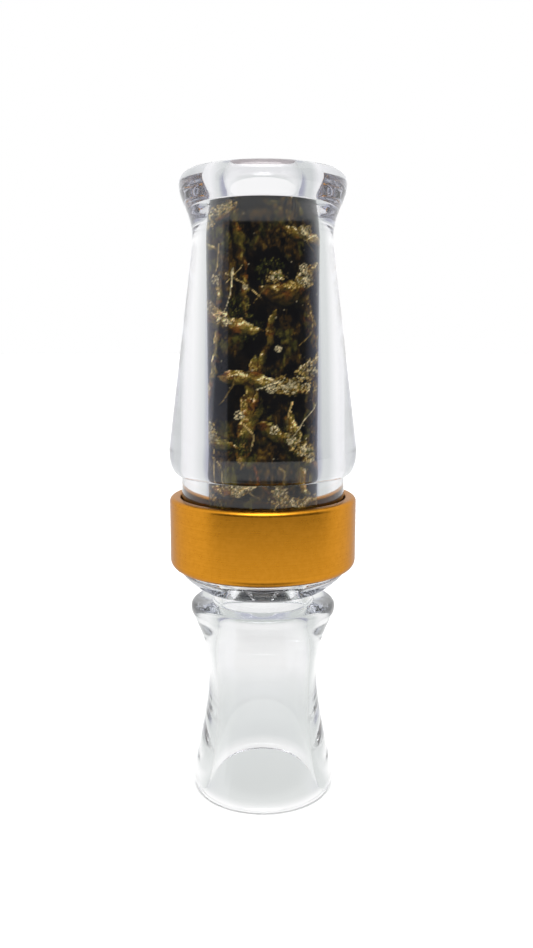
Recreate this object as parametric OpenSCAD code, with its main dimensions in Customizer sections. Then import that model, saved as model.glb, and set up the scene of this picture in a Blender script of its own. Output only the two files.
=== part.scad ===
// Double-reed duck call: clear barrel with a printed sleeve, metal band,
// and a clear insert that carries the reeds and ends in an open bell.
// The call stands on the bell's rim at z = 0, with the mouth at the top.

/* [Barrel] */
// Length from the end that meets the insert up to the lip
barrel_len = 82.7; // [80:0.1:95]
// Radius of the rounded shoulder, the widest place
shoulder_r = 20.3; // [19.5:0.1:21.5]
// Radius of the neck below the shoulder, under the band
neck_r = 17.65; // [17:0.05:18.2]
// Length of the neck, up to the shoulder
neck_len = 19.7; // [17.5:0.1:22]
// Radius of the narrow throat below the lip
throat_r = 14.95; // [14.2:0.05:15.8]
// Radius of the lip
lip_r = 17.47; // [16.5:0.01:18.5]
// Radius of the cavity that holds the printed sleeve
cavity_r = 11.95; // [11.8:0.05:12.4]
// Radius of the mouth bore
mouth_r = 7.94; // [7.8:0.01:8.1]
// Depth of solid plastic between the cavity and the lip
lip_depth = 5.7; // [4.5:0.1:7]

/* [Sleeve] */
// Thickness of the printed wrap
wrap_t = 0.27; // [0.2:0.01:0.3]
// Air gap between the wrap and the barrel's cavity
wrap_gap = 0.05; // [0.02:0.01:0.1]
// Width of the seam where the rolled wrap's edges meet, at the back
wrap_seam = 0.4; // [0.2:0.05:0.8]
// Bore radius of the liner tube, which the insert plugs into
liner_bore_r = 7.94; // [7.9:0.01:8.1]

/* [Band] */
// Outer radius of the band
band_r = 20.3; // [19.8:0.1:22]
// Height of the band
band_h = 15.7; // [12:0.1:17]
// Length by which the band's lower edge hangs past the barrel's end
band_overhang = 0.9; // [0.6:0.1:1.0]

/* [Bell] */
// Height of the seat where the insert meets the barrel
seat_z = 52.2; // [50:0.1:56]
// Outer radius of the bell's foot
foot_r = 15.74; // [14.8:0.02:17]
// Inner radius of the bell's mouth, above its rounded edge
bell_in_r = 12.3; // [11.8:0.05:13]
// Outer radius of the waist
waist_r = 12.15; // [11.8:0.05:13]
// Inner radius at the waist
waist_in_r = 10.1; // [9:0.05:10.6]
// Outer radius of the flange
flange_r = 15.95; // [15:0.05:17]
// Radius of the lanyard groove
groove_r = 11.03; // [10.6:0.01:12]
// Width of the lanyard groove
groove_w = 2.85; // [2.5:0.05:3.2]
// Radius of the bowl under the band
bowl_r = 18.1; // [17.8:0.05:18.6]

/* [Tenon and tone board] */
// Radius of the tenon and of the tone board's back
tenon_r = 7.72; // [7.6:0.01:7.8]
// Length of the tenon
tenon_len = 25.8; // [24:0.1:28]
// Length of the tone board beyond the tenon
board_len = 40; // [36:0.5:42]
// Distance of the tone board's face behind the centre line
board_y = 1.0; // [0.6:0.1:1.4]
// Radius of the air channel
channel_r = 3.2; // [2.8:0.05:3.4]
// Slope of the board's lay, in degrees
lay_angle = 3.6; // [3.4:0.1:4.2]
// Length of the notch that holds the reeds and the wedge
notch_len = 12; // [10:0.5:13]

/* [Reeds] */
// Width of both reeds
reed_w = 11.8; // [10:0.1:11.8]
// Thickness of both reeds
reed_t = 0.25; // [0.18:0.01:0.25]
// Distance from the tone board's tip back to the long reed's tip
long_reed_back = 0.8; // [0.5:0.1:2]
// How much shorter the short reed is
short_reed_back = 3.2; // [2.5:0.1:5]
// Angle at which the dimple holds the short reed off the long one
reed_splay = 0.5; // [0.4:0.05:0.6]

/* [Seals] */
// Section diameter of the rings
ring_d = 1.7; // [1.6:0.02:1.72]
// Radius of the rings' centre circle
ring_r = 7.05; // [7.03:0.01:7.06]

/* [Hidden] */
$fn = 96;

// Cut margin, so that subtracted shapes run past the faces they open
eps = 0.5;
// Gap between parts that only touch
seat_gap = 0.15;

lip_z = seat_z + barrel_len;
shoulder_z = seat_z + neck_len;
cavity_top_z = lip_z - lip_depth;
sleeve_top_z = cavity_top_z - 0.2;
shoulder_h = 6.1;
// The shoulder's round foot, inside the straight side of the neck's step
shoulder_foot = 1.9;
throat_h = 15.7;
lip_round = 2.8;
lip_flat_r = lip_r - 2.27;

wrap_r = cavity_r - wrap_gap;
liner_r = wrap_r - wrap_t - 0.03;

band_z = seat_z - band_overhang;
band_top_z = band_z + band_h;
band_bore_r = neck_r + 0.02;
band_relief_r = neck_r + 0.3;
band_relief_h = 3;

waist_z = 0.5 * seat_z;
foot_h = 3;
bowl_top_z = band_z - 0.25;
bowl_h = 4.7;
groove_top_z = bowl_top_z - bowl_h;
flange_top_z = groove_top_z - groove_w;
flange_edge_z = flange_top_z - 1.8;
flange_round = 1.1;
register_r = neck_r - 0.3;
exhaust_top_z = seat_z + 0.8;

tenon_top_z = seat_z + tenon_len;
board_tip_z = tenon_top_z + board_len;
notch_z = tenon_top_z - notch_len;
ring_z = [seat_z + 4, seat_z + 10];
ring_groove_w = ring_d + 0.4;
ring_groove_r = ring_r - ring_d / 2 - 0.05;
channel_y = board_y + 0.6;
channel_top_z = board_tip_z - 11;
lay_z = tenon_top_z + 14.5;
lay_drop = (board_tip_z - lay_z) * tan(lay_angle);

// The reeds flex just past the start of the lay
flex_z = lay_z + 0.5;
flex_gap = 0.1;
long_reed_top_z = board_tip_z - long_reed_back;
short_reed_top_z = long_reed_top_z - short_reed_back;
reed_corner = 4;
dimple_z = short_reed_top_z - 5;
dimple_h = 0.12;
dimple_r = 1.1;
tongue_gap = 0.03;

// Half-widths of the notch at the board's face and at a depth in front of it
notch_foot = 6.1;
notch_lean = 1.7;
notch_depth = 8;

// Cubic curve from p0 to p3 with handles p1 and p2, in n steps
function curve(p0, p1, p2, p3, n = 10) = [for (i = [0:n]) let (t = i / n, u = 1 - t)
    u * u * u * p0 + 3 * u * u * t * p1 + 3 * u * t * t * p2 + t * t * t * p3];

// Quarter round between two points: leaves p0 along d0 and reaches p1 along d1
function round_to(p0, d0, p1, d1, n = 6) =
    let (k = 0.5523, a = norm([p1.x - p0.x, 0]), b = norm([0, p1.y - p0.y]),
        s0 = d0.x == 0 ? b : a, s1 = d1.x == 0 ? b : a)
    curve(p0, p0 + k * s0 * d0, p1 - k * s1 * d1, p1, n);

up = [0, 1];
down = [0, -1];
out = [1, 0];
in = [-1, 0];

module barrel() {
    cone_top_z = lip_z - throat_h;
    cone_foot_z = shoulder_z + shoulder_h;
    cone_lean = (shoulder_r - throat_r) / (cone_top_z - cone_foot_z);
    outside = concat(
        [[neck_r, seat_z + 0.4], [neck_r, shoulder_z]],
        curve([neck_r + 0.2, shoulder_z], [neck_r + shoulder_foot, shoulder_z],
            [shoulder_r, shoulder_z + 2], [shoulder_r, cone_foot_z - 0.5]),
        curve([throat_r, cone_top_z], [throat_r - 7 * cone_lean, cone_top_z + 7],
            [lip_r, lip_z - lip_round - 3.8], [lip_r, lip_z - lip_round], 14),
        round_to([lip_r, lip_z - lip_round], up, [lip_flat_r, lip_z], in));
    inside = concat(
        round_to([mouth_r + 2, lip_z], in, [mouth_r, lip_z - 3.7], down),
        [[mouth_r, cavity_top_z], [cavity_r, cavity_top_z],
         [cavity_r, seat_z], [neck_r - 0.4, seat_z]]);
    color([0.9, 0.92, 0.95, 0.4]) rotate_extrude() polygon(concat(outside, inside));
}

module camo_wrap() {
    color([0.3, 0.24, 0.14]) translate([0, 0, seat_z]) difference() {
        cylinder(h = sleeve_top_z - seat_z, r = wrap_r);
        translate([0, 0, -eps])
            cylinder(h = sleeve_top_z - seat_z + 2 * eps, r = wrap_r - wrap_t);
        translate([-wrap_seam / 2, 0, -eps])
            cube([wrap_seam, wrap_r + eps, sleeve_top_z - seat_z + 2 * eps]);
    }
}

module liner_tube() {
    color([0.6, 0.55, 0.56]) translate([0, 0, seat_z]) difference() {
        cylinder(h = sleeve_top_z - seat_z, r = liner_r);
        translate([0, 0, -eps])
            cylinder(h = sleeve_top_z - seat_z + 2 * eps, r = liner_bore_r);
    }
}

module band() {
    section = concat(
        round_to([band_r - 2, band_z], out, [band_r, band_z + 2], up),
        round_to([band_r, band_top_z - 1], up, [band_r - 1, band_top_z], in),
        round_to([band_relief_r + 0.4, band_top_z], in,
            [band_relief_r, band_top_z - 0.4], down),
        [[band_relief_r, band_top_z - band_relief_h],
         [band_bore_r, band_top_z - band_relief_h - 0.3],
         [band_bore_r, band_z]]);
    color([0.78, 0.5, 0.13]) rotate_extrude() polygon(section);
}

// Bell, flange, groove, bowl and tenon, turned about the centre line
module insert_body() {
    outside = concat(
        curve([foot_r - 1.5, 0], [foot_r - 0.45, 0], [foot_r, 1.2], [foot_r, foot_h], 6),
        curve([foot_r, foot_h], [foot_r - 0.65, 8], [waist_r, waist_z - 8],
            [waist_r, waist_z], 14),
        curve([waist_r, waist_z], [waist_r, waist_z + 8.7],
            [flange_r - 1.25, flange_edge_z - 3.5], [flange_r, flange_edge_z], 14),
        round_to([flange_r, flange_top_z - flange_round], up,
            [flange_r - flange_round, flange_top_z], in),
        round_to([groove_r + 0.4, flange_top_z], in, [groove_r, flange_top_z + 0.4], up, 4),
        round_to([groove_r, groove_top_z - 0.4], up, [groove_r + 0.4, groove_top_z], out, 4),
        curve([groove_r + 1.6, groove_top_z], [groove_r + 2.9, groove_top_z],
            [bowl_r, bowl_top_z - 1.3], [bowl_r, bowl_top_z - 0.2], 12),
        [[bowl_r - 0.2, bowl_top_z], [register_r, bowl_top_z],
         [register_r, seat_z - seat_gap], [tenon_r, seat_z - seat_gap]]);
    ring_grooves = [for (z = ring_z, p = [[tenon_r, -1], [ring_groove_r, -1],
        [ring_groove_r, 1], [tenon_r, 1]]) [p.x, z + p.y * ring_groove_w / 2]];
    inside = concat(
        [[0, exhaust_top_z], [channel_y + channel_r + 0.1, exhaust_top_z]],
        [for (i = [12:-1:1]) exhaust_curve()[i]],
        curve([waist_in_r, waist_z + 0.8], [waist_in_r, waist_z - 7],
            [bell_in_r - 1.2, 8.5], [bell_in_r, 1.5], 14),
        curve([bell_in_r, 1.5], [bell_in_r + 0.15, 0.6], [bell_in_r + 0.5, 0],
            [bell_in_r + 1, 0], 6));
    rotate_extrude() polygon(concat(outside, ring_grooves,
        [[tenon_r, tenon_top_z - 0.4], [tenon_r - 0.4, tenon_top_z], [0, tenon_top_z]],
        inside));
}

// Inner wall from the bell's waist up to the air channel
function exhaust_curve() = curve([waist_in_r, waist_z + 0.8], [waist_in_r, waist_z + 13],
    [groove_r - 2, groove_top_z], [channel_y + channel_r + 0.1, exhaust_top_z], 13);

// Half-round board with a sloping lay, thinned and rounded towards its tip
module tone_board() {
    board_z = tenon_top_z - eps;
    tip_back = 2.4;
    side = concat(
        [[board_y, board_z], [board_y, lay_z], [board_y + lay_drop, board_tip_z]],
        curve([board_y + lay_drop + tip_back - 1, board_tip_z],
            [board_y + lay_drop + tip_back, board_tip_z],
            [tenon_r, board_tip_z - 6], [tenon_r, board_tip_z - 14]),
        [[tenon_r, board_z]]);
    intersection() {
        translate([0, 0, board_z]) cylinder(h = board_len + 2 * eps, r = tenon_r);
        translate([-tenon_r, 0, 0]) rotate([90, 0, 90])
            linear_extrude(2 * tenon_r) polygon(side);
        translate([0, 2 * tenon_r, 0]) rotate([90, 0, 0])
            linear_extrude(3 * tenon_r) board_front();
    }
}

// Outline of the tone board seen from the front, with a round tip
module board_front() {
    translate([-tenon_r, tenon_top_z - eps]) square([2 * tenon_r, board_len - tenon_r]);
    translate([0, board_tip_z - tenon_r - 0.2]) circle(r = tenon_r + 0.2);
}

module insert() {
    color([0.9, 0.92, 0.95, 0.4]) difference() {
        union() {
            insert_body();
            tone_board();
        }
        translate([0, channel_y, exhaust_top_z - eps])
            cylinder(h = channel_top_z - exhaust_top_z + eps, r = channel_r);
        translate([0, channel_y, channel_top_z]) sphere(r = channel_r);
        translate([0, 0, notch_z]) linear_extrude(notch_len + eps)
            polygon(notch_section(notch_foot, board_y));
    }
}

// Dovetail section, from its foot at depth y out past the tenon
function notch_section(foot, y) = [[-foot, y], [foot, y],
    [foot - notch_lean, y - notch_depth - 1], [notch_lean - foot, y - notch_depth - 1]];

module wedge() {
    wedge_y = board_y - 2 * reed_t;
    color([0.72, 0.52, 0.34]) intersection() {
        translate([0, 0, notch_z + 0.1]) cylinder(h = notch_len + 0.7, r = tenon_r - 0.12);
        translate([0, 0, notch_z + 0.1]) linear_extrude(notch_len + 0.7)
            polygon(notch_section(notch_foot - 0.13, wedge_y));
    }
}

// Flat strip of reed between two heights, lying on the plane y = face
module reed_strip(face, z0, z1) {
    translate([-reed_w / 2, face - reed_t, z0]) cube([reed_w, reed_t, z1 - z0]);
}

// Free end of a reed with rounded corners, lying on the plane y = face
module reed_tip(face, z0, z1) {
    translate([0, face, 0]) rotate([90, 0, 0]) linear_extrude(reed_t) polygon(concat(
        [[-reed_w / 2, z0], [reed_w / 2, z0]],
        round_to([reed_w / 2, z1 - reed_corner], up, [reed_w / 2 - reed_corner, z1], in),
        round_to([reed_corner - reed_w / 2, z1], in, [-reed_w / 2, z1 - reed_corner], down)));
}

module long_reed_base() {
    color([0.85, 0.85, 0.78]) reed_strip(board_y, notch_z + 0.1, flex_z);
}

module long_reed_tongue() {
    color([0.85, 0.85, 0.78]) reed_tip(board_y, flex_z + flex_gap, long_reed_top_z);
}

module short_reed_base() {
    color([0.8, 0.82, 0.85]) reed_strip(board_y - reed_t, notch_z + 0.1, flex_z);
}

module short_reed_tongue() {
    face = board_y - reed_t - tongue_gap;
    color([0.8, 0.82, 0.85]) translate([0, face, flex_z]) rotate([reed_splay, 0, 0])
    translate([0, -face, -flex_z]) {
        reed_tip(face, flex_z + flex_gap, short_reed_top_z);
        translate([0, face - reed_t / 2, dimple_z]) rotate([-90, 0, 0])
            cylinder(h = reed_t / 2 + dimple_h, r = dimple_r);
    }
}

module o_ring(z) {
    color([0.12, 0.12, 0.12]) translate([0, 0, z])
        rotate_extrude() translate([ring_r, 0]) circle(r = ring_d / 2, $fn = 32);
}

module o_ring_lower() { o_ring(ring_z[0]); }
module o_ring_upper() { o_ring(ring_z[1]); }

barrel();
camo_wrap();
liner_tube();
band();
insert();
wedge();
long_reed_base();
long_reed_tongue();
short_reed_base();
short_reed_tongue();
o_ring_lower();
o_ring_upper();
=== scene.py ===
import math

import bmesh
import bpy
import numpy as np
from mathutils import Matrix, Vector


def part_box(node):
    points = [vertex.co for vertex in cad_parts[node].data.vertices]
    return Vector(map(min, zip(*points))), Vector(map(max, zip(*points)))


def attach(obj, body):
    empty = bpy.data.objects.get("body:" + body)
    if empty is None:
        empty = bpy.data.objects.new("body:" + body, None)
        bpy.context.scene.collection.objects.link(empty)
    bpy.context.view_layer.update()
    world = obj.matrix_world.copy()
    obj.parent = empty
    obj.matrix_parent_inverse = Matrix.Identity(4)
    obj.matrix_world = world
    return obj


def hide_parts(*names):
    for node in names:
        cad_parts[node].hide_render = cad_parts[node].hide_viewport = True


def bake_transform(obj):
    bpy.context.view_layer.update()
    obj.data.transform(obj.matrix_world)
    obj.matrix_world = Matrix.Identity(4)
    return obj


MM = 0.001
SEGMENTS = 192
SHARP_ANGLE = math.radians(24)
SOFTBOX_FORWARD = 0.45
SOFTBOX_GAIN = 5.0
FLAG_LEFT = -67
FLAG_RIGHT = 95
WHITE = (1.0, 1.0, 1.0)
TABLE_GLOW = (1.3, 1.3, 1.3)
FLAG_GREY = (0.65, 0.68, 0.67)
FLAG_EDGE = (0.40, 0.41, 0.50)
FLAG_FRONT = (0.60, 0.62, 0.72)
FLAG_DARK = (0.12, 0.12, 0.13)
FLAG_BLACK = (0.012, 0.012, 0.016)

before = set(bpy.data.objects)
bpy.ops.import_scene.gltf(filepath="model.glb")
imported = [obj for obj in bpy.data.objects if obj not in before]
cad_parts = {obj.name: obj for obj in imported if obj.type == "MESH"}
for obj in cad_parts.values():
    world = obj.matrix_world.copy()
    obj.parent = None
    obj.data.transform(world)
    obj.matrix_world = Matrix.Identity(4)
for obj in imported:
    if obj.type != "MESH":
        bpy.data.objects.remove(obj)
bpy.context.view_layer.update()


def low(node):
    """Lowest height of a CAD node, in millimetres."""
    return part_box(node)[0].z / MM


def high(node):
    """Highest height of a CAD node, in millimetres."""
    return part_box(node)[1].z / MM


def reach(node):
    """Largest radius of a round CAD node, in millimetres."""
    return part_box(node)[1].x / MM


SEAT = low("barrel")
LIP = high("barrel")
SHOULDER = SEAT + 19.7
CAVITY_R = 11.95
BORE_R = 7.94
FILM_T = 0.27
SEAM_GAP = 0.08
PAINT_SEED = 4217
TENON_R = 7.72
TENON_TOP = SEAT + 25.8
BOARD_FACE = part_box("long_reed_base")[1].y / MM
REED_T = BOARD_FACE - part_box("long_reed_base")[0].y / MM
LAY_SLOPE = math.tan(math.radians(3.6))
CHANNEL_R = 3.2
CHANNEL_Y = BOARD_FACE + 0.6


# ---------------------------------------------------------------- mesh helpers


def curve(p0, p1, p2, p3, steps=16):
    """Points of a cubic curve from p0 to p3 with handles p1 and p2."""
    points = []
    for i in range(steps + 1):
        t = i / steps
        u = 1 - t
        weights = (u * u * u, 3 * u * u * t, 3 * u * t * t, t * t * t)
        points.append(tuple(
            sum(w * p[k] for w, p in zip(weights, (p0, p1, p2, p3))) for k in range(2)
        ))
    return points


def corner(p0, along, p1, steps=8):
    """A quarter round from p0, leaving it along "r" or "z", to p1."""
    k = 0.5523
    dr = p1[0] - p0[0]
    dz = p1[1] - p0[1]
    if along == "r":
        return curve(p0, (p0[0] + k * dr, p0[1]), (p1[0], p1[1] - k * dz), p1, steps)
    return curve(p0, (p0[0], p0[1] + k * dz), (p1[0] - k * dr, p1[1]), p1, steps)


def merge_close(profile, gap=1e-4):
    """The profile without points that repeat the one before."""
    kept = []
    for p in profile:
        if not kept or math.dist(p, kept[-1]) > gap:
            kept.append(p)
    if math.dist(kept[0], kept[-1]) < gap:
        kept.pop()
    return kept


def new_object(name, mesh, material):
    """Links a mesh as an object with one material."""
    piece = bpy.data.objects.new(name, mesh)
    bpy.context.scene.collection.objects.link(piece)
    mesh.materials.append(material)
    return piece


def face_outwards(mesh, merge=False):
    """Turns every face outwards, after joining doubled points if asked."""
    bm = bmesh.new()
    bm.from_mesh(mesh)
    if merge:
        bmesh.ops.remove_doubles(bm, verts=bm.verts, dist=1e-6)
    bmesh.ops.recalc_face_normals(bm, faces=bm.faces)
    bm.to_mesh(mesh)
    bm.free()


def finish_mesh(mesh, angle=SHARP_ANGLE):
    """Faces outwards, smooth shading and sharp edges where the surface turns."""
    face_outwards(mesh)
    mesh.shade_smooth()
    mesh.set_sharp_from_angle(angle=angle)


def lathe_mesh(name, profile, segments=SEGMENTS):
    """A closed section in (radius, height), turned about the Z axis."""
    profile = merge_close(profile)
    rows = len(profile)
    verts = []
    ring_start = []
    for r, z in profile:
        ring_start.append(len(verts))
        if r < 1e-6:
            verts.append((0, 0, z * MM))
            continue
        for k in range(segments):
            a = 2 * math.pi * k / segments
            verts.append((r * MM * math.cos(a), r * MM * math.sin(a), z * MM))
    faces = []
    for i in range(rows):
        j = (i + 1) % rows
        pole_i = profile[i][0] < 1e-6
        pole_j = profile[j][0] < 1e-6
        if pole_i and pole_j:
            continue
        for k in range(segments):
            n = (k + 1) % segments
            a, b = ring_start[i], ring_start[j]
            if pole_i:
                faces.append((a, b + n, b + k))
            elif pole_j:
                faces.append((a + k, a + n, b))
            else:
                faces.append((a + k, a + n, b + n, b + k))
    mesh = bpy.data.meshes.new(name)
    mesh.from_pydata(verts, [], faces)
    mesh.update()
    return mesh


def lathe(name, profile, material, segments=SEGMENTS):
    """A turned piece with smooth shading."""
    mesh = lathe_mesh(name, profile, segments)
    finish_mesh(mesh)
    return new_object(name, mesh, material)


def prism_mesh(name, outline, lift):
    """A closed flat outline of 3-D points, pulled along the vector lift to its far side."""
    count = len(outline)
    near = [tuple(c * MM for c in p) for p in outline]
    far = [tuple((c + d) * MM for c, d in zip(p, lift)) for p in outline]
    faces = [tuple(range(count)), tuple(range(2 * count - 1, count - 1, -1))]
    for i in range(count):
        j = (i + 1) % count
        faces.append((i, j, count + j, count + i))
    mesh = bpy.data.meshes.new(name)
    mesh.from_pydata(near + far, [], faces)
    mesh.update()
    face_outwards(mesh)
    return mesh


def cut(target, mesh, operation):
    """Applies an exact Boolean with a throw-away mesh."""
    tool = bpy.data.objects.new("tool", mesh)
    bpy.context.scene.collection.objects.link(tool)
    modifier = target.modifiers.new("cut", "BOOLEAN")
    modifier.operation = operation
    modifier.solver = "EXACT"
    modifier.object = tool
    graph = bpy.context.evaluated_depsgraph_get()
    result = bpy.data.meshes.new_from_object(target.evaluated_get(graph))
    target.modifiers.clear()
    target.data = result
    bpy.data.objects.remove(tool)


# ------------------------------------------------------------ material helpers


def new_material(name, roughness):
    """A material with a Principled shader: (material, node tree, shader)."""
    material = bpy.data.materials.new(name)
    material.use_nodes = True
    tree = material.node_tree
    shader = tree.nodes["Principled BSDF"]
    shader.inputs["Roughness"].default_value = roughness
    return material, tree, shader


def position(tree, stretch=(1, 1, 1)):
    """Object coordinates in millimetres, scaled on each axis."""
    coords = tree.nodes.new("ShaderNodeTexCoord")
    mapping = tree.nodes.new("ShaderNodeMapping")
    mapping.inputs["Scale"].default_value = [s / MM for s in stretch]
    tree.links.new(coords.outputs["Object"], mapping.inputs["Vector"])
    return mapping.outputs["Vector"]


def noise(tree, vector, scale, detail=4.0, rough=0.55):
    """Noise with about `scale` cycles for each unit of the vector."""
    node = tree.nodes.new("ShaderNodeTexNoise")
    node.inputs["Scale"].default_value = scale
    node.inputs["Detail"].default_value = detail
    node.inputs["Roughness"].default_value = rough
    tree.links.new(vector, node.inputs["Vector"])
    return node.outputs["Fac"]


def remap(tree, value, from_min, from_max, to_min, to_max):
    """A value moved from one range to another, clamped."""
    node = tree.nodes.new("ShaderNodeMapRange")
    for key, number in zip(
        ("From Min", "From Max", "To Min", "To Max"), (from_min, from_max, to_min, to_max)
    ):
        node.inputs[key].default_value = number
    tree.links.new(value, node.inputs["Value"])
    return node.outputs["Result"]


def ramp(tree, value, stops):
    """A colour ramp from (position, colour) stops."""
    node = tree.nodes.new("ShaderNodeValToRGB")
    elements = node.color_ramp.elements
    while len(elements) < len(stops):
        elements.new(0.5)
    for element, (place, colour) in zip(elements, stops):
        element.position = place
        element.color = (*colour, 1)
    tree.links.new(value, node.inputs["Fac"])
    return node.outputs["Color"]


def math_node(tree, operation, a, b):
    """Two values, sockets or numbers, put through a Math node."""
    node = tree.nodes.new("ShaderNodeMath")
    node.operation = operation
    for socket, value in zip(node.inputs, (a, b)):
        if isinstance(value, (int, float)):
            socket.default_value = value
        else:
            tree.links.new(value, socket)
    return node.outputs["Value"]


def bump(tree, shader, height, strength, distance):
    """Fine relief, with its depth in metres."""
    node = tree.nodes.new("ShaderNodeBump")
    node.inputs["Strength"].default_value = strength
    node.inputs["Distance"].default_value = distance
    tree.links.new(height, node.inputs["Height"])
    tree.links.new(node.outputs["Normal"], shader.inputs["Normal"])


# ------------------------------------------------------------------- materials


def clear_plastic(name, absorbed, density):
    """Polished clear acrylic with faint turning marks, a little darker where it is thick."""
    material, tree, shader = new_material(name, 0.0)
    shader.inputs["Transmission Weight"].default_value = 1.0
    shader.inputs["IOR"].default_value = 1.49
    haze = noise(tree, position(tree, (0.3, 0.3, 0.12)), 0.6, 2.0)
    tint = ramp(tree, haze, [(0.3, (0.978, 0.98, 0.98)), (0.7, (0.995, 0.995, 0.995))])
    tree.links.new(tint, shader.inputs["Base Color"])
    marks = noise(tree, position(tree, (0.02, 0.02, 1.5)), 1.0, 3.0)
    bump(tree, shader, marks, 0.06, 0.00003)
    volume = tree.nodes.new("ShaderNodeVolumeAbsorption")
    volume.inputs["Color"].default_value = (*absorbed, 1)
    volume.inputs["Density"].default_value = density
    output = tree.nodes["Material Output"]
    tree.links.new(volume.outputs["Volume"], output.inputs["Volume"])
    return material


def gold_metal():
    """Satin copper-gold with fine turning lines and soft mottling."""
    material, tree, shader = new_material("satin_gold", 0.34)
    shader.inputs["Metallic"].default_value = 1.0
    shader.inputs["Specular Tint"].default_value = (0.62, 0.62, 0.62, 1)
    mottle = noise(tree, position(tree), 0.9, 5.0, 0.6)
    lines = noise(tree, position(tree, (0.05, 0.05, 6.0)), 1.0, 4.0, 0.6)
    mixed = math_node(tree, "ADD", mottle, math_node(tree, "MULTIPLY", lines, 0.8))
    tint = ramp(tree, mixed, [
        (0.55, (0.47, 0.190, 0.012)),
        (0.9, (0.51, 0.208, 0.014)),
        (1.15, (0.55, 0.227, 0.017)),
    ])
    tree.links.new(tint, shader.inputs["Base Color"])
    tree.links.new(remap(tree, mixed, 0.5, 1.3, 0.24, 0.36), shader.inputs["Roughness"])
    bump(tree, shader, mixed, 0.25, 0.00002)
    return material


def camo_print():
    """The printed film: painted colours with fine print grain."""
    material, tree, shader = new_material("woodland_print", 0.5)
    shader.inputs["Specular IOR Level"].default_value = 0.1
    paint = tree.nodes.new("ShaderNodeAttribute")
    paint.attribute_name = "paint"
    grain = noise(tree, position(tree), 4.5, 3.0, 0.7)
    gain = remap(tree, grain, 0.3, 0.7, 0.7, 2.7)
    scale = tree.nodes.new("ShaderNodeVectorMath")
    scale.operation = "SCALE"
    tree.links.new(paint.outputs["Color"], scale.inputs[0])
    tree.links.new(gain, scale.inputs["Scale"])
    warm = tree.nodes.new("ShaderNodeVectorMath")
    warm.operation = "MULTIPLY"
    warm.inputs[1].default_value = (1.0, 0.92, 0.72)
    tree.links.new(scale.outputs["Vector"], warm.inputs[0])
    tree.links.new(warm.outputs["Vector"], shader.inputs["Base Color"])
    tree.links.new(remap(tree, grain, 0.3, 0.7, 0.42, 0.6), shader.inputs["Roughness"])
    bump(tree, shader, grain, 0.2, 0.00002)
    return material


def liner_plastic():
    """Satin warm-grey plastic with a faint moulded grain."""
    material, tree, shader = new_material("warm_grey_plastic", 0.45)
    grain = noise(tree, position(tree), 3.0, 4.0)
    tint = ramp(tree, grain, [(0.3, (0.56, 0.50, 0.51)), (0.7, (0.66, 0.60, 0.61))])
    tree.links.new(tint, shader.inputs["Base Color"])
    tree.links.new(remap(tree, grain, 0.3, 0.7, 0.38, 0.52), shader.inputs["Roughness"])
    bump(tree, shader, grain, 0.3, 0.00003)
    return material


def cork():
    """Pressed cork: pale granules with dark joints."""
    material, tree, shader = new_material("cork_grain", 0.85)
    place = position(tree)
    cells = tree.nodes.new("ShaderNodeTexVoronoi")
    cells.inputs["Scale"].default_value = 0.9
    tree.links.new(place, cells.inputs["Vector"])
    speck = noise(tree, place, 2.2, 5.0, 0.65)
    mixed = math_node(tree, "MULTIPLY_ADD", cells.outputs["Distance"], 0.45)
    tree.links.new(speck, mixed.node.inputs[2])
    tint = ramp(tree, mixed, [
        (0.45, (0.55, 0.33, 0.16)),
        (0.75, (0.42, 0.23, 0.10)),
        (0.98, (0.13, 0.06, 0.025)),
    ])
    tree.links.new(tint, shader.inputs["Base Color"])
    bump(tree, shader, mixed, 0.6, 0.0001)
    return material


def reed_film():
    """Frosted polyester film with a brushed surface."""
    material, tree, shader = new_material("frosted_film", 0.38)
    shader.inputs["Transmission Weight"].default_value = 0.55
    shader.inputs["IOR"].default_value = 1.35
    brushed = noise(tree, position(tree, (3.0, 1.0, 0.12)), 2.0, 4.0)
    tint = ramp(tree, brushed, [(0.3, (0.80, 0.82, 0.79)), (0.7, (0.90, 0.91, 0.88))])
    tree.links.new(tint, shader.inputs["Base Color"])
    tree.links.new(remap(tree, brushed, 0.3, 0.7, 0.3, 0.46), shader.inputs["Roughness"])
    bump(tree, shader, brushed, 0.2, 0.00002)
    return material


def ring_rubber():
    """Black rubber with a dull bloom."""
    material, tree, shader = new_material("black_rubber", 0.55)
    bloom = noise(tree, position(tree), 1.6, 5.0, 0.6)
    tint = ramp(tree, bloom, [(0.35, (0.012, 0.012, 0.012)), (0.7, (0.035, 0.034, 0.033))])
    tree.links.new(tint, shader.inputs["Base Color"])
    tree.links.new(remap(tree, bloom, 0.3, 0.7, 0.45, 0.7), shader.inputs["Roughness"])
    bump(tree, shader, bloom, 0.3, 0.00004)
    return material


# ------------------------------------------------------- the sleeve's painting


def hashed(ix, iy, seed):
    """A repeatable random number from 0 to 1 for each pair of whole numbers."""
    h = (ix.astype(np.int64) * 374761393 + iy.astype(np.int64) * 668265263
         + seed * 1274126177) & 0xFFFFFFFF
    h = ((h ^ (h >> 13)) * 1103515245) & 0xFFFFFFFF
    h = ((h ^ (h >> 16)) * 2246822519) & 0xFFFFFFFF
    return (h ^ (h >> 15)) / 4294967295.0


def value_noise(x, y, seed):
    """Smooth noise from 0 to 1, one cell for each unit of x and y."""
    ix = np.floor(x)
    iy = np.floor(y)
    fx = x - ix
    fy = y - iy
    fx = fx * fx * (3 - 2 * fx)
    fy = fy * fy * (3 - 2 * fy)
    a = hashed(ix, iy, seed)
    b = hashed(ix + 1, iy, seed)
    c = hashed(ix, iy + 1, seed)
    d = hashed(ix + 1, iy + 1, seed)
    return (a * (1 - fx) + b * fx) * (1 - fy) + (c * (1 - fx) + d * fx) * fy


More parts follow.
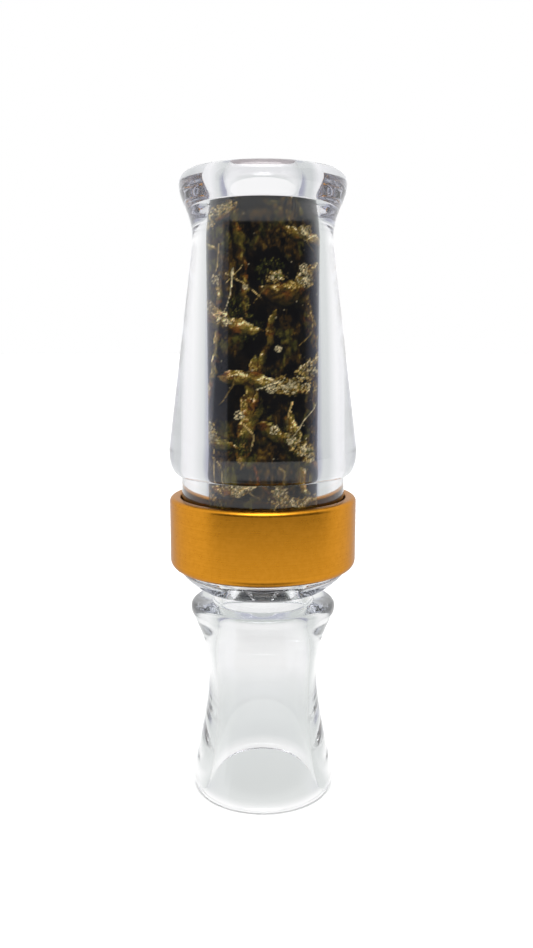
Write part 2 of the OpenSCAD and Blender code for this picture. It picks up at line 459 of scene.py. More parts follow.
def fbm(x, y, seed, octaves=4, fall=0.55):
    """Layered noise from 0 to 1."""
    total = np.zeros(np.broadcast(x, y).shape)
    weight = 1.0
    whole = 0.0
    for k in range(octaves):
        total += weight * value_noise(x * 2 ** k, y * 2 ** k, seed + 17 * k)
        whole += weight
        weight *= fall
    return total / whole


def ridges(x, y, seed, octaves=3):
    """Noise with thin bright crests, from 0 to 1."""
    return 1 - np.abs(2 * fbm(x, y, seed, octaves, 0.6) - 1)


def smooth(value, edge0, edge1):
    """Smooth step from 0 to 1 between two edges."""
    t = np.clip((value - edge0) / (edge1 - edge0), 0, 1)
    return t * t * (3 - 2 * t)


def srgb(*values):
    """8-bit display colour to linear."""
    c = np.array(values, float) / 255
    return np.where(c <= 0.04045, c / 12.92, ((c + 0.055) / 1.055) ** 2.4)


VOID = srgb(4, 3, 2)
DARK = srgb(34, 23, 6)
TAN = srgb(140, 118, 62)
RUST = srgb(120, 66, 18)
PALE = srgb(206, 182, 120)
CREAM = srgb(255, 243, 200)
MOSS = srgb(54, 62, 14)
LEAF = srgb(104, 104, 40)
BARK = [
    (0.0, srgb(2, 1, 0)), (0.16, srgb(20, 13, 2)), (0.34, srgb(58, 42, 8)),
    (0.52, srgb(104, 82, 26)), (0.7, srgb(158, 132, 66)), (0.86, srgb(218, 196, 132)),
    (1.0, srgb(255, 246, 208)),
]


def bark_colour(level):
    """Bark colours from black through brown to cream."""
    places = [place for place, _ in BARK]
    return np.stack(
        [np.interp(level, places, [colour[k] for _, colour in BARK]) for k in range(3)], -1
    )


class Canvas:
    """A sheet seen as millimetres round (u, 0 at the front) and up (v, 0 at the foot)."""

    def __init__(self, u, v, seed):
        self.u = u
        self.v = v
        self.random = np.random.default_rng(seed)
        self.colour = np.zeros(u.shape + (3,))

    def window(self, u0, u1, v0, v1):
        """Row and column slices that cover a rectangle."""
        rows = np.searchsorted(self.v[:, 0], [v0, v1])
        columns = np.searchsorted(self.u[0], [u0, u1])
        return slice(rows[0], rows[1] + 1), slice(columns[0], columns[1] + 1)

    def round(self, path, pad):
        """The slices that cover a path with room on every side."""
        return self.window(path[:, 0].min() - pad, path[:, 0].max() + pad,
                           path[:, 1].min() - pad, path[:, 1].max() + pad)

    def blend(self, area, mask, colour):
        """Mixes a colour in by a mask."""
        mask = mask[..., None]
        self.colour[area] = self.colour[area] * (1 - mask) + colour * mask


def spline(points, steps=14):
    """A smooth path through (u, v) points."""
    points = np.array(points, float)
    padded = np.vstack([2 * points[0] - points[1], points, 2 * points[-1] - points[-2]])
    path = []
    for i in range(1, len(padded) - 2):
        p0, p1, p2, p3 = padded[i - 1:i + 3]
        for t in np.linspace(0, 1, steps, endpoint=False):
            path.append(0.5 * (2 * p1 + (p2 - p0) * t
                               + (2 * p0 - 5 * p1 + 4 * p2 - p3) * t ** 2
                               + (3 * p1 - p0 - 3 * p2 + p3) * t ** 3))
    path.append(points[-1])
    return np.array(path)


def along_path(canvas, area, path, warp=0.0, seed=0):
    """For each place: signed distance to the path, length along it, and its whole length."""
    u = canvas.u[area]
    v = canvas.v[area]
    if warp:
        shift_u = fbm(u / 1.9, v / 1.9, seed, 3) - 0.5
        shift_v = fbm(u / 1.9 + 40, v / 1.9, seed + 1, 3) - 0.5
        u = u + warp * shift_u
        v = v + warp * shift_v
    best = np.full(u.shape, 1e9)
    side = np.zeros(u.shape)
    run = np.zeros(u.shape)
    length = 0.0
    for p, q in zip(path[:-1], path[1:]):
        d = q - p
        size = math.hypot(*d)
        if size < 1e-9:
            continue
        t = np.clip(((u - p[0]) * d[0] + (v - p[1]) * d[1]) / size ** 2, 0, 1)
        du = u - p[0] - t * d[0]
        dv = v - p[1] - t * d[1]
        dist = np.hypot(du, dv)
        nearer = dist < best
        best = np.where(nearer, dist, best)
        side = np.where(nearer, np.sign(d[0] * dv - d[1] * du) * dist, side)
        run = np.where(nearer, length + t * size, run)
        length += size
    return side, run, length


def draw_bough(canvas, points, r0, r1, seed, bright=1.0, rust=0.4, mossy=0.3):
    """A bark-covered bough, lit from above, with torn edges and flaking plates."""
    path = spline(points)
    area = canvas.round(path, max(r0, r1) * 1.5 + 1.2)
    if canvas.u[area].size == 0:
        return
    side, run, length = along_path(canvas, area, path, 1.5, seed)
    radius = r0 + (r1 - r0) * run / length
    radius = radius * (0.6 + 0.8 * fbm(run / 2.2, np.sign(side) * 7.0, seed + 2, 4, 0.75))
    radius = radius * np.clip(np.minimum(run, length - run) / (1.6 * r0) + 0.12, 0.12, 1)
    across = side / radius
    upward = 1.0 if path[-1][0] >= path[0][0] else -1.0
    light = 0.5 + 0.5 * across * upward
    body = np.sqrt(np.clip(1.04 - across ** 2, 0, 1))
    streak = ridges(run / 3.4, side / 0.75, seed + 5, 4)
    plates = ridges(run / 1.5, side / 0.95, seed + 9, 3)
    fine = fbm(run / 0.7, side / 0.38, seed + 11, 3, 0.7)
    level = (0.1 + 0.62 * light * body) * (0.2 + 1.0 * streak)
    level = level + 0.5 * (fine - 0.5) + 0.42 * (plates - 0.62)
    level = level + 0.5 * smooth(light * streak * fine, 0.26, 0.5)
    level = np.clip(level * bright * (0.5 + 0.5 * body), 0, 1)
    colour = bark_colour(level)
    patch = fbm(run / 1.8, side / 1.3, seed + 13, 3)
    warm = (rust * smooth(patch, 0.5, 0.68) * smooth(level, 0.1, 0.4))[..., None]
    colour = colour * (1 - warm) + RUST * (0.1 + 1.7 * level[..., None]) * warm
    green = (mossy * smooth(fbm(run / 1.4, side / 1.2, seed + 19, 4), 0.45, 0.6))[..., None]
    colour = colour * (1 - green) + LEAF * (0.05 + 2.0 * level[..., None]) * green
    canvas.blend(area, smooth(1.5 - np.abs(across), 0.0, 0.5) * 0.85, VOID)
    canvas.blend(area, smooth(1 - np.abs(across), 0.0, 0.12), colour)


def draw_twig(canvas, points, r0, r1, colour, seed):
    """A thin twig, lit along one side, with knots."""
    path = spline(points, 8)
    area = canvas.round(path, max(r0, r1) + 0.8)
    if canvas.u[area].size == 0:
        return
    side, run, length = along_path(canvas, area, path, 0.5, seed)
    radius = (r0 + (r1 - r0) * run / length) * (0.7 + 0.6 * value_noise(run / 0.8, run * 0, seed))
    across = side / radius
    mask = smooth(1.15 - np.abs(across), 0, 0.6)
    level = 0.25 + 0.9 * smooth(across, -0.5, 0.8)
    level = level * (0.3 + 1.1 * value_noise(run / 0.9, side * 2, seed + 4))
    canvas.blend(area, smooth(1.9 - np.abs(across), 0, 0.8) * 0.6, VOID)
    canvas.blend(area, mask, colour * level[..., None])


def draw_fleck(canvas, u, v, size, colour, rim=0.0):
    """A small lobed scale, with a dark rim where rim is over zero."""
    random = canvas.random
    turn = random.uniform(0, math.pi)
    squeeze = random.uniform(0.4, 0.95)
    lobes = random.integers(2, 6)
    phase = random.uniform(0, 6.3)
    room = 1.3 * size + rim + 0.3
    area = canvas.window(u - room, u + room, v - room, v + room)
    du = canvas.u[area] - u
    dv = canvas.v[area] - v
    if du.size == 0:
        return
    a = du * math.cos(turn) + dv * math.sin(turn)
    b = (dv * math.cos(turn) - du * math.sin(turn)) / squeeze
    away = np.hypot(a, b)
    edge = size * (1 + 0.3 * np.cos(lobes * np.arctan2(b, a) + phase))
    if rim:
        canvas.blend(area, smooth(edge + rim - away, 0, 0.25) * 0.85, DARK * 0.4)
    level = 0.6 + 0.6 * smooth(dv - 0.5 * du, -size, size)
    canvas.blend(area, smooth(edge - away, -0.04, 0.16), colour * level[..., None])


def draw_lichen(canvas, u, v, long, wide, lean, count, bright=1.0):
    """A crust of pale scales with dark gaps, brighter towards its middle."""
    random = canvas.random
    area = canvas.window(u - long - 1, u + long + 1, v - long - 1, v + long + 1)
    du = canvas.u[area] - u
    dv = canvas.v[area] - v
    if du.size == 0:
        return
    a = (du * math.cos(lean) + dv * math.sin(lean)) / long
    b = (dv * math.cos(lean) - du * math.sin(lean)) / wide
    crust = fbm(canvas.u[area] / 0.5, canvas.v[area] / 0.5, 61, 3, 0.7)
    mask = smooth(1.15 - np.hypot(a, b) + 1.2 * (crust - 0.5), 0.0, 0.3)
    canvas.blend(area, 0.85 * mask, bark_colour(np.clip(2.2 * crust - 0.75, 0, 0.8)))
    for _ in range(count):
        distance = random.random() ** 0.75
        turn = random.uniform(0, 2 * math.pi)
        a = long * distance * math.cos(turn)
        b = wide * distance * math.sin(turn)
        near = 1 - distance
        pick = random.random()
        if pick < 0.3 + 0.4 * near:
            colour = CREAM * random.uniform(0.6, 1.0)
        elif pick < 0.82:
            colour = PALE * random.uniform(0.5, 1.1)
        else:
            colour = LEAF * random.uniform(0.6, 1.2)
        size = random.uniform(0.17, 0.4) * (0.8 + 0.5 * near)
        draw_fleck(canvas, u + a * math.cos(lean) - b * math.sin(lean),
                   v + a * math.sin(lean) + b * math.cos(lean),
                   size, colour * bright, 0.17 if random.random() < 0.6 else 0.0)


def draw_rosette(canvas, u, v, size):
    """A round lichen: uneven rings of scales."""
    for share, count in ((1.0, int(8 + 9 * size)), (0.5, 5)):
        for k in range(count):
            turn = 2 * math.pi * (k + canvas.random.uniform(-0.3, 0.3)) / count
            away = size * share * canvas.random.uniform(0.85, 1.12)
            colour = CREAM * canvas.random.uniform(0.45, 0.95)
            draw_fleck(canvas, u + away * math.cos(turn), v + away * math.sin(turn),
                       canvas.random.uniform(0.16, 0.3), colour, 0.14)


def draw_moss(canvas, u, v, spread, count):
    """A mossy tuft of short green strokes."""
    random = canvas.random
    for _ in range(count):
        distance = spread * math.sqrt(random.random())
        turn = random.uniform(0, 2 * math.pi)
        start = np.array([u + distance * math.cos(turn), v + distance * math.sin(turn)])
        step = np.array([random.uniform(-0.6, 0.6), random.uniform(-1.0, -0.1)])
        colour = (MOSS if random.random() < 0.6 else LEAF) * random.uniform(0.5, 1.5)
        draw_twig(canvas, [start, start + step * 0.5, start + step], 0.19, 0.09, colour, 3)


def paint_background(canvas):
    """Deep shade with half-lit bark behind, torn into irregular patches."""
    u = canvas.u
    v = canvas.v
    whole = (slice(None), slice(None))
    canvas.colour = np.zeros(u.shape + (3,)) + VOID
    wander = 3.0 * fbm(u / 6.0, v / 6.0, 5, 3)
    bark = ridges(u / 0.9 + wander, v / 3.2 + wander, 23, 4)
    fine = fbm(u / 0.55, v / 0.8, 29, 3, 0.7)
    level = np.clip(0.75 * bark * fine - 0.06, 0, 0.7)
    patch = fbm(u / 6.5 + 3.1, v / 10.0, 11, 5, 0.65)
    lit = smooth(patch, 0.50, 0.56)
    colour = bark_colour(level)
    tint = 0.7 * smooth(fbm(u / 2.5, v / 3.5, 37, 4), 0.5, 0.64)[..., None]
    colour = colour * (1 - tint) + LEAF * 1.7 * level[..., None] * tint
    canvas.blend(whole, lit, colour)
    dim = smooth(fbm(u / 2.2, v / 4.0, 47, 4, 0.6), 0.5, 0.66) * (1 - lit)
    canvas.blend(whole, 0.7 * dim, bark_colour(level * 0.5))


def paint_sheet(u, v, height, half):
    """Paints the whole sheet and returns its colours."""
    canvas = Canvas(u, v, PAINT_SEED)
    random = canvas.random
    stems, tufts, rosettes, twigs, specks = 22, 26, 24, 90, 420
    paint_background(canvas)
    # upright trunks and stems, far and near
    for k in range(stems):
        x = -half + (k + random.uniform(0.1, 0.9)) * 2 * half / stems
        lean = random.uniform(-6, 6)
        z0 = random.uniform(-12, height * 0.75)
        z1 = z0 + random.uniform(12, 30)
        width = random.uniform(0.7, 2.1)
        bend = random.uniform(-1.5, 1.5)
        draw_bough(canvas, [(x, z1), (x + lean * 0.5 + bend, (z0 + z1) / 2), (x + lean, z0)],
                   width, width * 0.7, 100 + k, random.uniform(0.55, 1.0), 0.6, 0.4)
    for _ in range(tufts):
        draw_moss(canvas, random.uniform(-half, half), random.uniform(0, height),
                  random.uniform(1.0, 2.8), int(random.integers(30, 80)))
    # main boughs in flights round the sheet
    columns = 4
    flights = 6
    for k in range(columns * flights):
        x = -half - 6 + (k % columns + random.uniform(0.0, 0.9)) * 2 * half / columns
        z = (k // columns + random.uniform(0.1, 0.8)) * height / flights
        span = random.uniform(13, 24)
        rise = random.uniform(-11, 9)
        sag = random.uniform(-2.2, 2.2)
        r0 = random.uniform(1.5, 3.6)
        points = [(x, z), (x + span * 0.33, z + rise * 0.3 + sag),
                  (x + span * 0.68, z + rise * 0.72 - sag * 0.6), (x + span, z + rise)]
        draw_bough(canvas, points, r0, r0 * 0.5, 300 + 7 * k,
                   random.uniform(0.85, 1.2), random.uniform(0.2, 0.8), random.uniform(0, 0.6))
        lean = math.atan2(rise, span)
        for _ in range(random.integers(2, 5)):
            t = random.uniform(0.05, 0.95)
            draw_lichen(canvas, x + span * t, z + rise * t + random.uniform(-0.6, 1.8),
                        random.uniform(1.3, 3.4), random.uniform(0.8, 1.7), lean,
                        int(random.integers(25, 95)), random.uniform(0.7, 1.0))
    for _ in range(rosettes):
        draw_rosette(canvas, random.uniform(-half, half), random.uniform(0, height),
                     random.uniform(0.35, 0.8))
    for k in range(twigs):
        x = random.uniform(-half, half)
        z = random.uniform(0, height)
        turn = random.uniform(-2.8, -0.3)
        size = random.uniform(2.5, 11)
        bend = random.uniform(-1.2, 1.2)
        end = (x + size * math.cos(turn), z + size * math.sin(turn))
        middle = ((x + end[0]) / 2 + bend, (z + end[1]) / 2 + bend * 0.5)
        colour = [PALE, TAN, RUST, CREAM][random.choice(4, p=[0.3, 0.4, 0.15, 0.15])]
        draw_twig(canvas, [(x, z), middle, end], random.uniform(0.13, 0.34), 0.07,
                  colour, 900 + k)
    for _ in range(specks):
        draw_fleck(canvas, random.uniform(-half, half), random.uniform(0, height),
                   random.uniform(0.07, 0.16), CREAM * random.uniform(0.3, 1.0))
    return canvas.colour


def sleeve(material):
    """The rolled printed film, open along its seam at the back."""
    top = high("camo_wrap")
    foot = low("camo_wrap")
    outer = reach("camo_wrap")
    inner = outer - FILM_T
    half_gap = math.asin(0.5 * SEAM_GAP / outer)
    columns = 300
    rows = 320
    angle = np.linspace(-math.pi + half_gap, math.pi - half_gap, columns)
    height = np.linspace(0, top - foot, rows)
    grid_a, grid_v = np.meshgrid(angle, height)
    colours = paint_sheet(grid_a * outer, grid_v, top - foot, math.pi * outer)
    verts = np.zeros((rows, columns, 3))
    verts[..., 0] = outer * np.sin(grid_a) * MM
    verts[..., 1] = -outer * np.cos(grid_a) * MM
    verts[..., 2] = (foot + grid_v) * MM
    inside = np.zeros((2, columns, 3))
    inside[..., 0] = inner * np.sin(angle) * MM
    inside[..., 1] = -inner * np.cos(angle) * MM
    inside[0, :, 2] = foot * MM
    inside[1, :, 2] = top * MM
    points = np.vstack([verts.reshape(-1, 3), inside.reshape(-1, 3)])
    base = rows * columns
    index = np.arange(base).reshape(rows, columns)
    quads = np.stack([index[:-1, :-1], index[:-1, 1:], index[1:, 1:], index[1:, :-1]], -1)
    faces = [tuple(q) for q in quads.reshape(-1, 4).tolist()]
    for k in range(columns - 1):
        faces.append((base + k + 1, base + k, base + columns + k, base + columns + k + 1))
        faces.append((k, base + k, base + k + 1, k + 1))
        last = (rows - 1) * columns
        faces.append((last + k, last + k + 1, base + columns + k + 1, base + columns + k))
    left = [base] + [int(index[r, 0]) for r in range(rows)] + [base + columns]
    right = [base + columns - 1] + [int(index[r, -1]) for r in range(rows)]
    right.append(base + 2 * columns - 1)
    faces.append(tuple(left))
    faces.append(tuple(reversed(right)))
    mesh = bpy.data.meshes.new("camo_sleeve")
    mesh.from_pydata(points.tolist(), [], faces)
    mesh.update()
    finish_mesh(mesh)
    paint = mesh.attributes.new("paint", "FLOAT_COLOR", "POINT")
    flat = np.ones((len(points), 4))
    flat[:base, :3] = np.clip(colours.reshape(-1, 3), 0, 1)
    flat[base:, :3] = DARK
    paint.data.foreach_set("color", flat.astype(np.float32).ravel())
    return new_object("camo_sleeve", mesh, material)


# ---------------------------------------------------------------------- pieces


def clear_barrel(material):
    """The turned barrel: neck, shoulder, taper, flared lip and inner cavity."""
    neck = 17.65
    shoulder = reach("barrel")
    throat = 14.95
    lip = 17.47
    cone_top = LIP - 15.7
    cone_foot = SHOULDER + 6.1
    lean = (shoulder - throat) / (cone_top - cone_foot)
    cavity_top = LIP - 5.7
    profile = [(neck, SEAT + 0.4), (neck, SHOULDER)]
    profile += curve((neck + 0.2, SHOULDER), (neck + 1.9, SHOULDER),
                     (shoulder, SHOULDER + 2), (shoulder, cone_foot - 0.5), 24)
    profile += curve((throat, cone_top), (throat - 7 * lean, cone_top + 7),
                     (lip, LIP - 6.6), (lip, LIP - 2.8), 40)
    profile += corner((lip, LIP - 2.8), "z", (lip - 2.27, LIP), 16)
    profile += corner((BORE_R + 2, LIP), "r", (BORE_R, LIP - 3.7), 14)
    profile += [(BORE_R, cavity_top), (CAVITY_R, cavity_top), (CAVITY_R, SEAT)]
    profile += [(neck - 0.4, SEAT)]
    return lathe("clear_barrel", profile, material)


def metal_band(material):
    """The satin band with rounded edges and a relieved upper bore."""
    r = reach("band")
    foot = low("band")
    top = high("band")
    bore = 17.67
    relief = 17.95
    profile = corner((r - 2, foot), "r", (r, foot + 2), 14)
    profile += corner((r, top - 1), "z", (r - 1, top), 10)
    profile += corner((relief + 0.4, top), "r", (relief, top - 0.4), 8)
    profile += [(relief, top - 3), (bore, top - 3.3), (bore, foot)]
    return lathe("metal_band", profile, material)


def insert_profile():
    """Section of the insert from the bell's rim up to the tenon's end, and its inside."""
    bowl_top = low("band") - 0.25
    groove_top = bowl_top - 4.7
    flange_top = groove_top - 2.85
    waist = 0.5 * SEAT
    register = 17.35
    foot, waist_r, flange, groove, bowl = 15.74, 12.15, 15.95, 11.03, 18.1
    throat = 10.1
    outside = curve((foot - 1.5, 0), (foot - 0.45, 0), (foot, 1.2), (foot, 3), 12)
    outside += curve((foot, 3), (foot - 0.65, 8), (waist_r, waist - 8), (waist_r, waist), 30)
    outside += curve((waist_r, waist), (waist_r, waist + 8.7),
                     (flange - 1.25, flange_top - 5.3), (flange, flange_top - 1.8), 30)
    outside += corner((flange, flange_top - 1.1), "z", (flange - 1.1, flange_top), 10)
    outside += corner((groove + 0.4, flange_top), "r", (groove, flange_top + 0.4), 6)
    outside += corner((groove, groove_top - 0.4), "z", (groove + 0.4, groove_top), 6)
    outside += curve((groove + 1.6, groove_top), (groove + 2.9, groove_top),
                     (bowl, bowl_top - 1.3), (bowl, bowl_top - 0.2), 24)
    outside += [(bowl - 0.2, bowl_top), (register, bowl_top), (register, SEAT - 0.15)]
    outside += [(TENON_R, SEAT - 0.15)]
    ring_r, ring_half = 6.15, 1.05
    for z in (SEAT + 4, SEAT + 10):
        outside += [(TENON_R, z - ring_half), (ring_r, z - ring_half)]
        outside += [(ring_r, z + ring_half), (TENON_R, z + ring_half)]
    outside += [(TENON_R, TENON_TOP - 0.4), (TENON_R - 0.4, TENON_TOP), (0, TENON_TOP)]
    top = SEAT + 0.8
    end = CHANNEL_Y + CHANNEL_R + 0.1
    inside = [(0, top), (end, top)]
    inside += curve((end, top), (groove - 2, groove_top), (throat, waist + 13.8),
                    (throat, waist + 0.8), 26)
    inside += curve((throat, waist + 0.8), (throat, waist - 7), (11.1, 8.5), (12.3, 1.5), 26)
    inside += curve((12.3, 1.5), (12.45, 0.6), (12.8, 0), (13.3, 0), 10)
    return outside, inside


def board_mesh():
    """The half-round tone board with its sloping lay and thinned round tip."""
    foot = TENON_TOP - 0.5
    tip = high("insert")
    lay = SEAT + 40.3
    drop = (tip - lay) * LAY_SLOPE
    back = 2.4
    rows = 72
    rim = 40
    flat = 8
    verts = []
    thin_path = curve((BOARD_FACE + drop + back - 1, tip), (BOARD_FACE + drop + back, tip),
                      (TENON_R, tip - 6), (TENON_R, tip - 14), 60)
    round_r = TENON_R + 0.2
    for i in range(rows + 1):
        t = i / rows
        z = foot + (tip - foot) * (1 - (1 - t) ** 1.8)
        face = BOARD_FACE + max(0.0, z - lay) * LAY_SLOPE
        deep = TENON_R
        for a, b in zip(thin_path[:-1], thin_path[1:]):
            if b[1] <= z <= a[1] and a[1] > b[1]:
                s = (z - b[1]) / (a[1] - b[1])
                deep = b[0] + (a[0] - b[0]) * s
        up = z - (tip - round_r)
        half = min(TENON_R, math.sqrt(max(round_r ** 2 - max(up, 0) ** 2, 0.04)))
        half = min(half, math.sqrt(TENON_R ** 2 - face ** 2))
        for k in range(rim + 1):
            x = -half * math.cos(math.pi * k / rim)
            y = min(math.sqrt(max(TENON_R ** 2 - x * x, face ** 2)), deep)
            verts.append((x * MM, max(y, face) * MM, z * MM))
        for k in range(1, flat):
            verts.append(((half - 2 * half * k / flat) * MM, face * MM, z * MM))
    width = rim + flat
    faces = []
    for i in range(rows):
        for k in range(width):
            n = (k + 1) % width
            faces.append((i * width + k, i * width + n, (i + 1) * width + n, (i + 1) * width + k))
    faces.append(tuple(range(width)))
    faces.append(tuple(range(rows * width + width - 1, rows * width - 1, -1)))
    mesh = bpy.data.meshes.new("board")
    mesh.from_pydata(verts, [], faces)
    mesh.update()
    face_outwards(mesh, merge=True)
    return mesh


def channel_mesh():
    """The air channel with its round end, as a solid to cut away."""
    foot = SEAT + 0.3
    top = high("insert") - 11
    profile = [(0, foot), (CHANNEL_R, foot)]
    profile += corner((CHANNEL_R, top), "z", (0, top + CHANNEL_R), 16)
    mesh = lathe_mesh("channel", profile, 96)
    for vertex in mesh.vertices:
        vertex.co.y += CHANNEL_Y * MM
    return mesh


def notch_mesh():
    """The dovetail notch for reeds and wedge, as a solid to cut away."""
    foot = SEAT + 13.8
    wide = 6.1
    narrow = 4.4
    back = BOARD_FACE - 9
    outline = [(-wide, BOARD_FACE), (wide, BOARD_FACE), (narrow, back), (-narrow, back)]
    return prism_mesh("notch", [(x, y, foot) for x, y in outline], (0, 0, 12.5))


def clear_insert(material):
    """Bell, flange, groove, bowl, tenon and tone board in one clear piece."""
    outside, inside = insert_profile()
    mesh = lathe_mesh("clear_insert", outside + inside)
    face_outwards(mesh)
    piece = bpy.data.objects.new("clear_insert", mesh)
    bpy.context.scene.collection.objects.link(piece)
    cut(piece, board_mesh(), "UNION")
    cut(piece, channel_mesh(), "DIFFERENCE")
    cut(piece, notch_mesh(), "DIFFERENCE")
    finish_mesh(piece.data)
    piece.data.materials.clear()
    piece.data.materials.append(material)
    return piece


def cork_wedge(material):
    """The cork wedge, with softened edges and a slightly uneven surface."""
    foot = low("wedge")
    top = high("wedge")
    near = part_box("wedge")[0].y / MM
    face = BOARD_FACE - 2 * REED_T
    wide = 5.97
    lean = 1.7 / 9
    limit = TENON_R - 0.12
    bevel = 0.25
    outline = []
    steps = 40
    for i in range(steps + 1):
        y = face + (near - face) * i / steps
        half = min(wide - (face - y) * lean, math.sqrt(max(limit ** 2 - y * y, 0.09)))
        outline.append((half, y))
    outline += [(-x, y) for x, y in reversed(outline)]
    mesh = prism_mesh("cork_wedge", [(x, y, foot) for x, y in outline], (0, 0, top - foot))
    piece = new_object("cork_wedge", mesh, material)
    bm = bmesh.new()
    bm.from_mesh(mesh)
    sharp = [e for e in bm.edges if len(e.link_faces) == 2 and e.calc_face_angle(0) > 0.6]
    bmesh.ops.bevel(bm, geom=sharp, offset=bevel * MM, segments=3, affect="EDGES")
    bm.to_mesh(mesh)
    bm.free()
    finish_mesh(mesh, math.radians(40))
    return piece


def reed(name, face, foot, tip, material, tilt=0.0, hinge=0.0, dimple=0.0):
    """A flat reed with a rounded tip; it may tilt past its hinge and carry a dimple."""
    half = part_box("long_reed_base")[1].x / MM
    round_mm = 4.0
    dimple_r, dimple_deep = 1.1, 0.12
    columns = 24
    heights = list(np.linspace(foot, tip - round_mm, 90))
    heights += [tip - round_mm * (1 - math.sin(a)) for a in np.linspace(0.06, math.pi / 2, 14)]
    verts = []
    for layer in (0, 1):
        for z in heights:
            up = max(0.0, z - (tip - round_mm))
            edge = half - round_mm + math.sqrt(max(round_mm ** 2 - up ** 2, 0))
            for k in range(columns + 1):
                x = -edge + 2 * edge * k / columns
                y = face - layer * REED_T
                if dimple:
                    away = math.hypot(x, z - dimple)
                    y += dimple_deep * max(0.0, 1 - (away / dimple_r) ** 2)
                y -= max(0.0, z - hinge) * math.tan(math.radians(tilt))
                verts.append((x * MM, y * MM, z * MM))
    width = columns + 1
    sheet = width * len(heights)
    faces = []
    for i in range(len(heights) - 1):
        for k in range(columns):
            a = i * width + k
            faces.append((a, a + 1, a + 1 + width, a + width))
            faces.append((sheet + a, sheet + a + width, sheet + a + 1 + width, sheet + a + 1))
        for a in (i * width, i * width + columns):
            faces.append((a, a + width, sheet + a + width, sheet + a))
    last = (len(heights) - 1) * width
    for k in range(columns):
        faces.append((k, k + 1, sheet + k + 1, sheet + k))
        faces.append((last + k, last + k + 1, sheet + last + k + 1, sheet + last + k))
    mesh = bpy.data.meshes.new(name)
    mesh.from_pydata(verts, [], faces)
    mesh.update()
    finish_mesh(mesh, math.radians(40))
    return new_object(name, mesh, material)


# ------------------------------------------------------------- light and floor


def facing(tree, coords, x, y, z):
    """How far a direction leans towards (x, y, z)."""
    node = tree.nodes.new("ShaderNodeVectorMath")
    node.operation = "DOT_PRODUCT"
    node.inputs[1].default_value = (x, y, z)
    tree.links.new(coords, node.inputs[0])
    return node.outputs["Value"]


def blend_colours(tree, factor, first, second):
    """A linked mix of two linked or plain colours."""
    node = tree.nodes.new("ShaderNodeMix")
    node.data_type = "RGBA"
    # a Mix node has its colour sockets at inputs 6 and 7 and at output 2
    tree.links.new(factor, node.inputs[0])
    for socket, colour in ((node.inputs[6], first), (node.inputs[7], second)):
        if isinstance(colour, tuple):
            socket.default_value = (*colour, 1)
        else:
            tree.links.new(colour, socket)
    return node.outputs[2]


def times(tree, *values):
    """Values multiplied together."""
    product = values[0]
    for value in values[1:]:
        product = math_node(tree, "MULTIPLY", product, value)
    return product


def grey_flags(tree, coords):
    """White behind, greyer at both sides and below, and cool grey in front."""
    x = facing(tree, coords, 1, 0, 0)
    z = facing(tree, coords, 0, 0, 1)
    aside = times(tree, x, x)
    lean = math_node(tree, "ADD", aside, times(tree, x, 0.22))
    flank = remap(tree, lean, 0.10, 0.60, 0.0, 0.85)
    under = remap(tree, z, -0.60, -0.22, 1.0, 0.0)
    shade = math_node(tree, "MAXIMUM", flank, under)
    colour = ramp(tree, shade, [(0.0, WHITE), (1.0, FLAG_GREY)])
    edge = remap(tree, aside, 0.74, 0.92, 0.0, 1.0)
    colour = blend_colours(tree, edge, colour, FLAG_EDGE)
    front = remap(tree, facing(tree, coords, 0, -1, 0), -0.1, 0.5, 0.0, 1.0)
    return blend_colours(tree, front, colour, FLAG_FRONT)


def black_flag(tree, coords):
    """1 round the camera, from a sharp left edge to a soft right one, and 0 elsewhere."""
    left = math.radians(FLAG_LEFT)
    right = math.radians(FLAG_RIGHT)
    sharp = facing(tree, coords, math.cos(left), math.sin(left), 0)
    soft = facing(tree, coords, -math.cos(right), -math.sin(right), 0)
    upper = remap(tree, facing(tree, coords, 0, 0, 1), 0.60, 0.70, 1.0, 0.0)
    return times(tree, remap(tree, sharp, 0, 0.06, 0, 1), remap(tree, soft, 0, 0.3, 0, 1), upper)


def softbox(tree, coords):
    """The light of the softbox, as a grey added to the room."""
    up = math.sqrt(1 - SOFTBOX_FORWARD ** 2)
    near = facing(tree, coords, 0, -SOFTBOX_FORWARD, up)
    node = tree.nodes.new("ShaderNodeVectorMath")
    node.operation = "SCALE"
    node.inputs[0].default_value = WHITE
    tree.links.new(remap(tree, near, 0.90, 0.94, 0.0, SOFTBOX_GAIN), node.inputs["Scale"])
    return node.outputs["Vector"]


def soft_world():
    """A white room with one wide soft light above the camera. Reflections and clear
    parts look out on flags: black round the camera, grey at both sides and below."""
    world = bpy.data.worlds.new("studio")
    bpy.context.scene.world = world
    world.use_nodes = True
    tree = world.node_tree
    coords = tree.nodes.new("ShaderNodeTexCoord").outputs["Generated"]
    z = facing(tree, coords, 0, 0, 1)
    black = black_flag(tree, coords)
    rays = tree.nodes.new("ShaderNodeLightPath").outputs

    # through clear parts, the black flag shows only after an inner reflection
    bounced = math_node(tree, "MINIMUM", rays["Glossy Depth"], 1.0)
    inner = times(tree, black, bounced, remap(tree, z, -0.42, -0.30, 0.0, 1.0))
    through = blend_colours(tree, inner, grey_flags(tree, coords), FLAG_BLACK)

    # reflections also see a bright table below the flag
    above = remap(tree, z, -0.19, -0.12, 0.0, 1.0)
    below = remap(tree, z, -0.90, -0.75, 1.0, 0.0)
    outer = times(tree, black, math_node(tree, "MAXIMUM", above, below))
    mirrored = blend_colours(tree, outer, TABLE_GLOW, FLAG_DARK)

    room = blend_colours(tree, rays["Is Glossy Ray"], WHITE, mirrored)
    room = blend_colours(tree, rays["Is Transmission Ray"], room, through)
    total = tree.nodes.new("ShaderNodeVectorMath")
    total.operation = "ADD"
    tree.links.new(room, total.inputs[0])
    tree.links.new(softbox(tree, coords), total.inputs[1])
    tree.links.new(total.outputs["Vector"], tree.nodes["Background"].inputs["Color"])


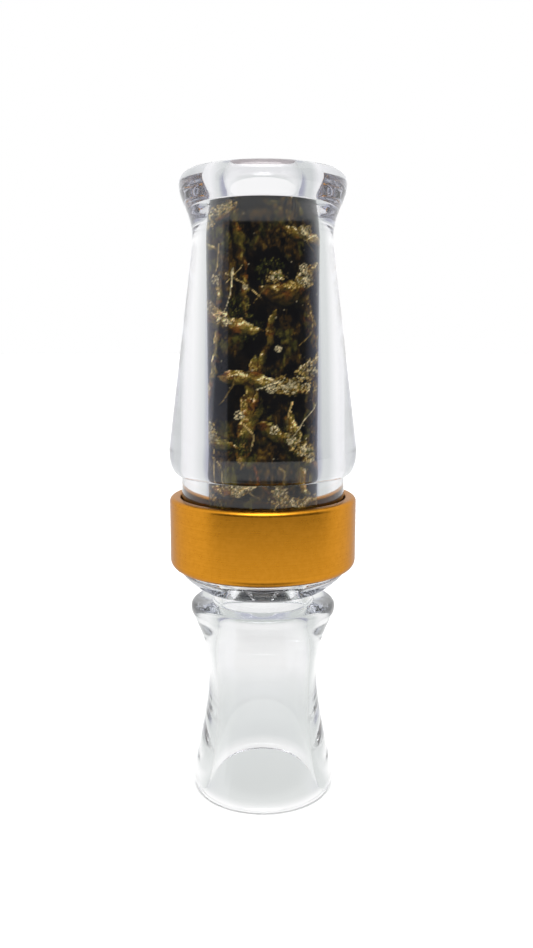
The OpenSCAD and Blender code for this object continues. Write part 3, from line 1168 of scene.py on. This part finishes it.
def floor():
    """A plain pale floor disc."""
    radius = 4000
    top, foot = -0.05, -5
    profile = [(0, top), (radius * 0.5, top), (radius, top), (radius, foot), (0, foot)]
    material, tree, shader = new_material("pale_floor", 0.9)
    wear = noise(tree, position(tree), 0.02, 3.0)
    tint = ramp(tree, wear, [(0.3, (0.91, 0.91, 0.91)), (0.7, (0.93, 0.93, 0.93))])
    tree.links.new(tint, shader.inputs["Base Color"])
    piece = lathe("floor", profile, material, 64)
    piece.visible_transmission = False
    piece.visible_glossy = False


def camera():
    """The main viewpoint: close, in front, looking 9 degrees down."""
    away, up, down_tilt = 193.4, 102.2, 9
    focal = 896
    frame_height = 948
    data = bpy.data.cameras.new("camera")
    rig = bpy.data.objects.new("camera", data)
    bpy.context.scene.collection.objects.link(rig)
    rig.location = (0, -away * MM, up * MM)
    rig.rotation_euler = (math.radians(90 - down_tilt), 0, 0)
    data.sensor_fit = "VERTICAL"
    data.sensor_height = 36
    data.lens = focal / frame_height * data.sensor_height
    data.shift_x = 3.6 / frame_height
    data.clip_start = 0.001
    bpy.context.scene.camera = rig
    bpy.context.scene.view_settings.view_transform = "Standard"


def light_paths():
    """Room for the many inner reflections that thick clear plastic makes."""
    cycles = bpy.context.scene.cycles
    cycles.max_bounces = 32
    cycles.glossy_bounces = 24
    cycles.transmission_bounces = 24


# ------------------------------------------------------------------------ build

barrel_plastic = clear_plastic("barrel_acrylic", (0.50, 0.50, 0.60), 10.0)
bell_plastic = clear_plastic("bell_acrylic", (0.50, 0.53, 0.54), 10.0)
film = reed_film()

barrel = clear_barrel(barrel_plastic)
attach(barrel, "barrel_body")
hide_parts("barrel")

wrap = sleeve(camo_print())
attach(wrap, "barrel_body")
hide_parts("camo_wrap")

band = metal_band(gold_metal())
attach(band, "barrel_body")
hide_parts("band")

bell = clear_insert(bell_plastic)
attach(bell, "insert_body")
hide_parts("insert")

wedge = cork_wedge(cork())
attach(wedge, "insert_body")
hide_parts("wedge")

hinge_z = high("long_reed_base")

long_reed = reed("long_reed", BOARD_FACE, low("long_reed_base"), high("long_reed_tongue"), film)
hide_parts("long_reed_base", "long_reed_tongue")
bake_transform(long_reed)

short_reed = reed("short_reed", BOARD_FACE - REED_T, low("short_reed_base"),
                  high("short_reed_tongue"), film, 0.5, hinge_z,
                  high("short_reed_tongue") - 5)
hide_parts("short_reed_base", "short_reed_tongue")
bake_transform(short_reed)

for node, material in (("liner_tube", liner_plastic()), ("o_ring_lower", ring_rubber()),
                       ("o_ring_upper", ring_rubber())):
    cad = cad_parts[node]
    cad.data.materials.clear()
    cad.data.materials.append(material)

soft_world()
floor()
camera()
light_paths()
